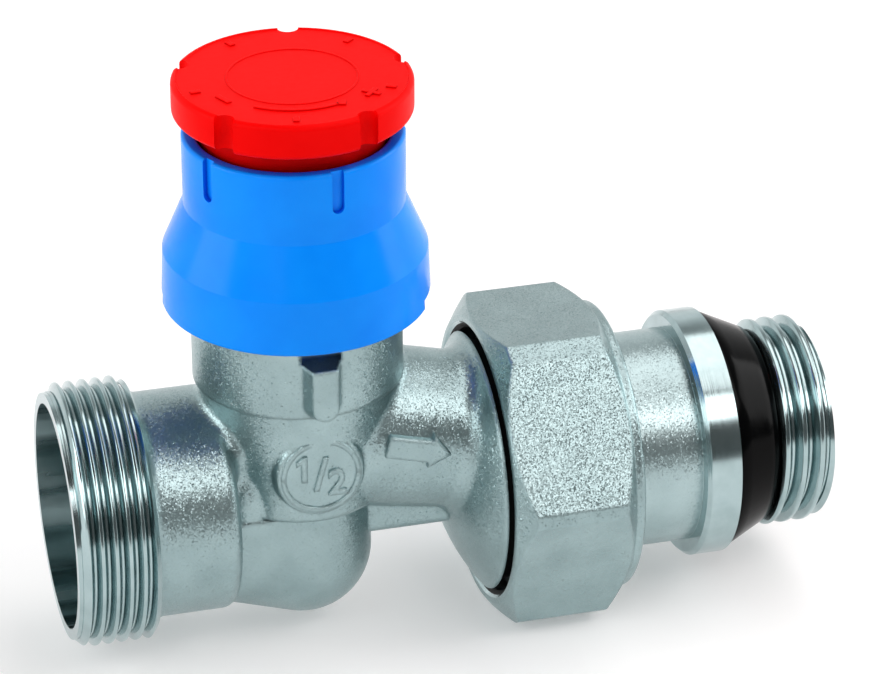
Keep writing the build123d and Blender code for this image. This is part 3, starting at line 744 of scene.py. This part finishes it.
# %% Dress the tail
RADIATOR_PITCH, RADIATOR_CREST, RADIATOR_ROOT = 1.814, 10.4775, 9.42
RADIATOR_SPAN, RADIATOR_CHAMFERS, RADIATOR_PHASE = (46.95, 52.6), (0.2, 0.7), 0.0
RADIATOR_CUT = (46.9, 52.8)
COLLAR_START, NOSE_R = 38.3, 10.5

tail = loose_copy("tailpiece")
turn_down(tail, RADIATOR_CUT, RADIATOR_CREST, RADIATOR_ROOT)


def tail_bright(face):
    x, out = face_spot(face)
    return x > COLLAR_START or out < NOSE_R


paint(tail, tail_bright, 1)
radiator_thread = thread_ridge(
    "radiator_thread",
    RADIATOR_SPAN,
    RADIATOR_PITCH,
    RADIATOR_ROOT,
    RADIATOR_CREST,
    RADIATOR_CHAMFERS,
    RADIATOR_PHASE,
)
join(tail, radiator_thread, 1)
finish_copy(tail, "turned_tail", "tailpiece", (SATIN, TURNED), edge=0.10)

# %% [markdown]
# ## Seal ring, collar and knob
# These three keep the CAD form. The rubber ring is glossy where it tapers, and the two mouldings have
# the small soft edges of a moulding tool. The top of the knob is let down by the height of its raised
# marks, so that the marks end where the CAD model ends.

# %% Dress the seal, the collar and the knob
KNOB_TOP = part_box("knob")[1].z / MM
MARK_RISE = 0.15
TOP_SNAP = 0.01

ring = loose_copy("self_seal_ring")
finish_copy(ring, "rubber_seal", "self_seal_ring", (RUBBER,), edge=0.15)
collar = loose_copy("head_collar")
finish_copy(collar, "blue_collar", "head_collar", (BLUE,), edge=0.15, angle=12.0)
cap = loose_copy("knob")
for vert in cap.verts:
    if vert.co.z / MM > KNOB_TOP - TOP_SNAP:
        vert.co.z -= MARK_RISE * MM
finish_copy(cap, "red_knob", "knob", (RED,), edge=0.18)

# %% [markdown]
# ## Raised marks
# A forging die and a moulding tool leave small raised marks: a size on the round pad, an arrow for
# the flow, and a ring, a turning arrow and plain signs on the knob. Each one is a thin solid whose
# foot is sunk in the piece that carries it, so that no gap shows from the side.


# %% Tools for raised marks
def raised_piece(name, shape, carrier, finish, edge):
    bmesh.ops.recalc_face_normals(shape, faces=shape.faces)
    new_piece(shape, name, carrier, (finish,), edge, angle=35.0)


def add_prism(shape, outline, foot, top, place):
    """A flat outline with a foot and a top, put in place by a function of (u, v, height)."""
    rows = [[shape.verts.new(place(u, v, height)) for u, v in outline] for height in (foot, top)]
    shape.faces.new(rows[1])
    shape.faces.new(rows[0][::-1])
    for i in range(len(outline)):
        j = (i + 1) % len(outline)
        shape.faces.new((rows[0][i], rows[0][j], rows[1][j], rows[1][i]))


def arc_band(radius, width, start, end, steps):
    """Outline of a band along an arc round the middle."""
    angles = [math.radians(start + (end - start) * step / steps) for step in range(steps + 1)]
    inner, outer = radius - width / 2, radius + width / 2
    there = [(outer * math.cos(angle), outer * math.sin(angle)) for angle in angles]
    back = [(inner * math.cos(angle), inner * math.sin(angle)) for angle in reversed(angles)]
    return there + back


def half_rings(radius, width, steps):
    return [arc_band(radius, width, start, start + 180.0, steps) for start in (0.0, 180.0)]


def bar(radius, angle, length, width, turn=0.0):
    """Outline of a short bar at a radius and an angle, turned from the direction of the rim."""
    corners = ((-1, -1), (1, -1), (1, 1), (-1, 1))
    spin = Matrix.Rotation(math.radians(turn), 2)
    swing = Matrix.Rotation(math.radians(angle), 2)
    middle = Vector((radius, 0.0))
    outline = []
    for side, end in corners:
        corner = Vector((side * width / 2, end * length / 2))
        outline.append(tuple(swing @ (middle + spin @ corner)))
    return outline


# %% Mark the knob
FACING = -105.0
MARK_SINK = 0.25
RING_R, RING_WIDTH, RING_RISE = 6.2, 0.22, MARK_RISE * 0.5
ARC_R, ARC_WIDTH, ARC_START, ARC_END = 7.6, 0.34, FACING - 26.0, FACING + 36.0
ARC_HEAD, HEAD_SIDE = FACING + 38.5, 0.9
MINUS_R, MINUS_ANGLE, MINUS_WIDTH = 8.1, FACING - 50.0, 0.55
PLUS_R, PLUS_ANGLE, PLUS_WIDTH = 8.3, FACING + 64.0, 0.5
PLUS_ARM, PLUS_ARM_SHIFT = 0.7, 0.6
SIGN_LENGTH = 1.9
TICKS, TICK_R, TICK_ANGLE = 5, 9.6, FACING + 4.0
TICK_LENGTH, TICK_WIDTH = 0.6, 1.0


def on_knob(u, v, height):
    return at(u, v, KNOB_TOP - MARK_RISE + height)


signs = bmesh.new()
for outline in half_rings(RING_R, RING_WIDTH, steps=48):
    add_prism(signs, outline, -MARK_SINK, RING_RISE, on_knob)
outlines = [
    arc_band(ARC_R, ARC_WIDTH, ARC_START, ARC_END, steps=24),
    bar(ARC_R, ARC_HEAD, HEAD_SIDE, HEAD_SIDE, turn=45.0),
    bar(MINUS_R, MINUS_ANGLE, SIGN_LENGTH, MINUS_WIDTH),
    bar(PLUS_R, PLUS_ANGLE, SIGN_LENGTH, PLUS_WIDTH),
]
for side in (-1, 1):
    outlines.append(bar(PLUS_R + side * PLUS_ARM_SHIFT, PLUS_ANGLE, PLUS_WIDTH, PLUS_ARM))
for tick in range(TICKS):
    outlines.append(bar(TICK_R, TICK_ANGLE + 360.0 * tick / TICKS, TICK_LENGTH, TICK_WIDTH))
for outline in outlines:
    add_prism(signs, outline, -MARK_SINK, MARK_RISE, on_knob)
raised_piece("knob_marks", signs, "knob", RED, edge=0.05)

# %% Mark the bulge with the flow arrow
ARROW_FOOT, ARROW_FACE = 6.6, 8.40
ARROW_TAIL, ARROW_TIP = Vector((6.9, 7.6)), Vector((13.3, 5.9))
HEAD_LENGTH, SHAFT_HALF, HEAD_HALF = 2.1, 1.15, 1.75

along = (ARROW_TIP - ARROW_TAIL).normalized()
across = Vector((-along.y, along.x))
tip = (ARROW_TIP - ARROW_TAIL).length
neck = tip - HEAD_LENGTH
arrow_sides = (
    (0.0, SHAFT_HALF),
    (0.0, -SHAFT_HALF),
    (neck, -SHAFT_HALF),
    (neck, -HEAD_HALF),
    (tip, 0.0),
    (neck, HEAD_HALF),
    (neck, SHAFT_HALF),
)
arrow_outline = [tuple(ARROW_TAIL + along * run + across * rise) for run, rise in arrow_sides]


def on_bulge(u, v, height):
    return at(u, -height, v)


arrow = bmesh.new()
add_prism(arrow, arrow_outline, ARROW_FOOT, ARROW_FACE, on_bulge)
raised_piece("flow_arrow", arrow, "valve_body", BLASTED, edge=0.12)


# %% Mark the pad with the size
PAD_FACE = 9.3
PAD_MIDDLE = Vector((0.0, 6.1))
RIM_R, RIM_WIDTH, RIM_FOOT, RIM_TOP = 3.72, 0.55, PAD_FACE - 0.3, PAD_FACE + 0.16
FIGURE_FOOT, FIGURE_TOP = PAD_FACE - 0.4, PAD_FACE + 0.22
FIGURE_ONE = (
    (0.3, 1.4),
    (-0.1, 1.4),
    (-0.8, 0.9),
    (-0.8, 0.4),
    (-0.3, 0.7),
    (-0.3, -1.4),
    (0.3, -1.4),
)
ONE_X, ONE_Z = -1.65, 0.9
STROKE_SIZE = 5.0
TWO_SIZE, TWO_SHIFT = 3.9, Vector((1.6, -1.0))
LETTER_SWELL = 0.09


def raised_text(shape, words, size, middle):
    """Text turned into a mesh and stood on the front of the pad."""
    letters = bpy.data.curves.new("letters", "FONT")
    letters.body = words
    letters.size = size
    letters.align_x = "CENTER"
    letters.align_y = "CENTER"
    letters.extrude = (FIGURE_TOP - FIGURE_FOOT) / 2
    letters.offset = LETTER_SWELL
    letters.resolution_u = 4
    mesh = evaluated(bpy.data.objects.new("letters", letters))
    place = Matrix.Translation(at(middle.x, -(FIGURE_TOP + FIGURE_FOOT) / 2, middle.y))
    mesh.transform(place @ Matrix.Scale(MM, 4) @ Matrix.Rotation(QUARTER_TURN, 4, "X"))
    shape.from_mesh(mesh)
    bpy.data.meshes.remove(mesh)


def on_pad(u, v, height):
    return at(PAD_MIDDLE.x + u, -height, PAD_MIDDLE.y + v)


figures = bmesh.new()
for outline in half_rings(RIM_R, RIM_WIDTH, steps=32):
    add_prism(figures, outline, RIM_FOOT, RIM_TOP, on_pad)
one = [(u + ONE_X, v + ONE_Z) for u, v in FIGURE_ONE]
add_prism(figures, one, FIGURE_FOOT, FIGURE_TOP, on_pad)
raised_text(figures, "/", STROKE_SIZE, PAD_MIDDLE)
raised_text(figures, "2", TWO_SIZE, PAD_MIDDLE + TWO_SHIFT)
bmesh.ops.remove_doubles(figures, verts=figures.verts, dist=MERGE * MM)
raised_piece("size_mark", figures, "valve_body", BLASTED, edge=0.05)

# %% [markdown]
# ## The return spring
# Turning the knob pushes the stem down, and a washer on the stem squeezes the spring. Here the spring
# gets a smooth copy in steel, with a mesh of its own.

# %% Copy the spring
coil = loose_copy("return_spring")
spring = finish_copy(coil, "coil_spring", "return_spring", (STEEL,), edge=0.0)
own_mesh(spring)

# %% [markdown]
# ## Pieces inside
# The other pieces are hidden until the valve is opened. They stay CAD nodes, and each one takes the
# finish that its material slot in the record names.

# %% Finish the CAD nodes
SLOT_FINISH = {
    "forged_nickel": BLASTED,
    "turned_nickel": TURNED,
    "bare_brass": BRASS,
    "spring_steel": STEEL,
    "black_rubber": RUBBER,
    "white_plastic": WHITE,
    "blue_plastic": BLUE,
    "red_plastic": RED,
}
for part in frame["record"]["subparts"]:
    skin = frame["nodes"][part["node"]].data.materials
    skin.clear()
    skin.append(SLOT_FINISH[part["material_slot"]])

# %% [markdown]
# ## Floor, light and camera
# A pale floor carries the valve, and soft boxes light it from the front, both sides and above. The
# room is pale behind the valve and dimmer behind the camera, so the metal has something dark to
# mirror. The floor shows white to the camera and to shiny surfaces, and still takes the shadow.

# %% Lay the floor
FLOOR_GAP = 0.02
FLOOR_Z = cad_box[0].z - FLOOR_GAP * MM
FLOOR_SIZE = 3.0
FLOOR_CLOUD = 4.0
FLOOR_TONES = (0.80, 0.82)
FLOOR_GLOW = 0.24


def floor_finish():
    finish, tree, shader, where = new_finish("pale_floor", Roughness=0.9)
    tint = mapped(tree, noise(tree, where, FLOOR_CLOUD, detail=2.0), FLOOR_TONES)
    ray = add_node(tree, "ShaderNodeLightPath").outputs
    seen = calc(tree, "ADD", ray["Is Camera Ray"], ray["Is Glossy Ray"])
    seen = calc(tree, "ADD", seen, ray["Is Transmission Ray"])
    tree.links.new(tint, shader.inputs["Base Color"])
    shader.inputs["Emission Color"].default_value = (1.0, 1.0, 1.0, 1.0)
    glow = calc(tree, "MULTIPLY", seen, FLOOR_GLOW)
    tree.links.new(glow, shader.inputs["Emission Strength"])
    return finish


sheet = bmesh.new()
bmesh.ops.create_grid(sheet, x_segments=2, y_segments=2, size=FLOOR_SIZE)
floor_mesh = bpy.data.meshes.new("floor")
sheet.to_mesh(floor_mesh)
sheet.free()
floor_mesh.transform(Matrix.Translation((0.0, 0.0, FLOOR_Z)))
floor_mesh.materials.append(floor_finish())
floor = bpy.data.objects.new("floor", floor_mesh)
bpy.context.scene.collection.objects.link(floor)
print("floor at", round(FLOOR_Z / MM, 2), "mm")


# %% Light the scene
MIDDLE = at(13.0, 0.0, 12.0)
WARM, NEUTRAL = (1.0, 0.93, 0.92), (1.0, 1.0, 1.0)
SOFTBOXES = (
    ("key_box", (0.40, -0.59, 0.736), (0.80, 0.36), 3.7, WARM),
    ("fill_box", (-0.61, -0.58, 0.60), (0.7, 0.5), 3.0, NEUTRAL),
    ("top_box", (0.35, 0.12, 1.00), (1.2, 0.50), 4.0, WARM),
    ("left_box", (-1.10, 0.05, 0.40), (0.8, 0.7), 5.8, NEUTRAL),
    ("right_box", (1.05, 0.05, 0.40), (0.8, 0.7), 5.8, NEUTRAL),
)


def look_at(holder, target):
    way = target - holder.location
    holder.rotation_euler = way.to_track_quat("-Z", "Y").to_euler()


for name, place, size, power, color in SOFTBOXES:
    lamp = bpy.data.lights.new(name, "AREA")
    lamp.color = color
    lamp.shape = "RECTANGLE"
    lamp.size, lamp.size_y = size
    lamp.energy = power
    holder = bpy.data.objects.new(name, lamp)
    holder.location = place
    look_at(holder, MIDDLE)
    bpy.context.scene.collection.objects.link(holder)
print("lamps:", len(bpy.data.lights))

# %% Shade the room
FRONT_TO_BACK, FRONT_TO_BACK_LEVELS = (-0.35, 0.35), (0.12, 1.0)
LOW_TO_HIGH, LOW_TO_HIGH_LEVELS = (0.35, 0.60), (1.0, 0.40)

world = bpy.data.worlds.new("studio")
bpy.context.scene.world = world
world.use_nodes = True
air = world.node_tree
facing = add_node(air, "ShaderNodeTexCoord").outputs["Generated"]
ways = add_node(air, "ShaderNodeSeparateXYZ", {0: facing}).outputs
behind = mapped(air, ways["Y"], FRONT_TO_BACK_LEVELS, FRONT_TO_BACK)
overhead = mapped(air, ways["Z"], LOW_TO_HIGH_LEVELS, LOW_TO_HIGH)
backdrop = air.nodes["Background"].inputs
air.links.new(calc(air, "MULTIPLY", behind, overhead), backdrop["Strength"])
backdrop["Color"].default_value = (1.0, 1.0, 1.0, 1.0)
print("room:", world.name)

# %% [markdown]
# The camera stands where the photograph was taken from: a long lens, a little to the left of the
# front and about 28 degrees above the flow axis.

# %% Place the camera
SENSOR = 36.0
IMAGE_WIDTH = 869
FOCAL_PIXELS = 3924.9
EYE, AIM = at(-74.35, -326.80, 197.13), at(13.794, 0.0, 14.491)

camera = bpy.data.cameras.new("camera")
camera.sensor_fit = "HORIZONTAL"
camera.sensor_width = SENSOR
camera.lens = FOCAL_PIXELS * SENSOR / IMAGE_WIDTH
camera.clip_start = 0.01
camera.clip_end = 20.0
eye = bpy.data.objects.new("camera", camera)
eye.location = EYE
look_at(eye, AIM)
bpy.context.scene.collection.objects.link(eye)
bpy.context.scene.camera = eye
bpy.context.scene.view_settings.view_transform = "Standard"
print("lens:", round(camera.lens, 1), "mm")
